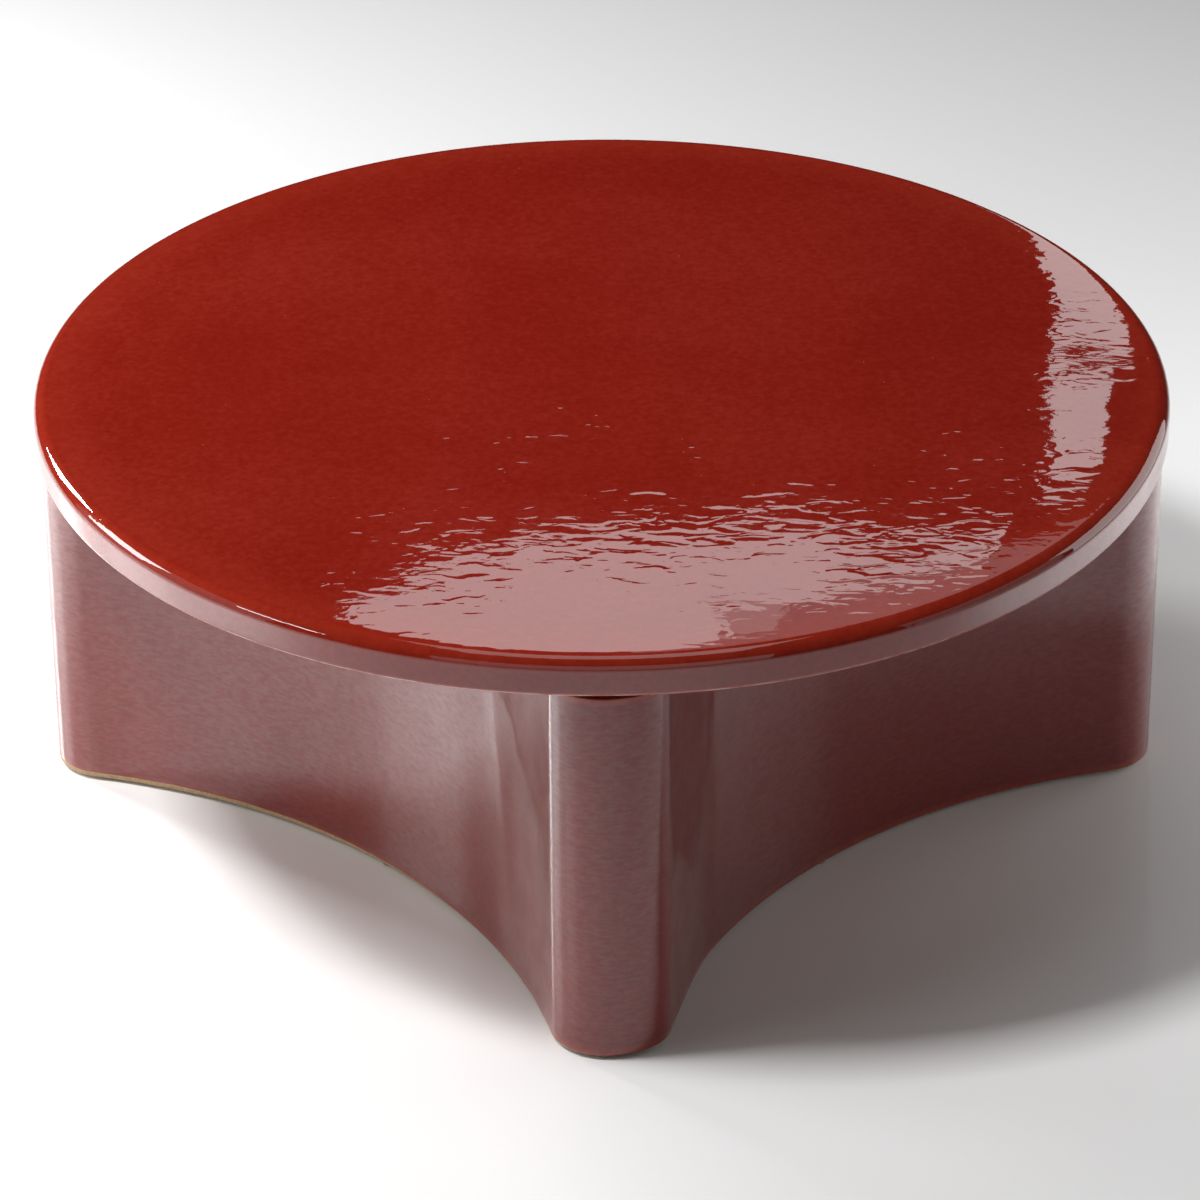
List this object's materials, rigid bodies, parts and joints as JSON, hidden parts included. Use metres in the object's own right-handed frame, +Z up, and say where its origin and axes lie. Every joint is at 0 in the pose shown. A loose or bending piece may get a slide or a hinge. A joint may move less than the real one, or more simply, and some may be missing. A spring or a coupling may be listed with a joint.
{
  "type": "side table",
  "caption": "Low round side table in glazed stoneware: a disc top with a bullnose rim on a hollow star-plan base with rounded legs and concave walls.",
  "frame": {"origin": "on the floor under the middle of the table", "axes": "+Z up through the middle of the top, -Y towards the front leg, +X towards the right leg"},
  "size_m": [0.9, 0.9, 0.35],
  "materials": {
    "top_glaze": "gloss",
    "base_glaze": "gloss",
    "silicone": "satin",
    "felt": "matte"
  },
  "bodies": {
    "root": {"table_top": "top_glaze", "base_shell": "base_glaze", "top_bumper_leg_front": "silicone", "floor_pad_leg_front": "felt", "top_bumper_leg_right": "silicone", "floor_pad_leg_right": "felt", "top_bumper_leg_back": "silicone", "floor_pad_leg_back": "felt", "top_bumper_leg_left": "silicone", "floor_pad_leg_left": "felt", "top_bumper_waist_front_right": "silicone", "floor_pad_waist_front_right": "felt", "top_bumper_waist_back_right": "silicone", "floor_pad_waist_back_right": "felt", "top_bumper_waist_back_left": "silicone", "floor_pad_waist_back_left": "felt", "top_bumper_waist_front_left": "silicone", "floor_pad_waist_front_left": "felt"}
  },
  "joints": []
}
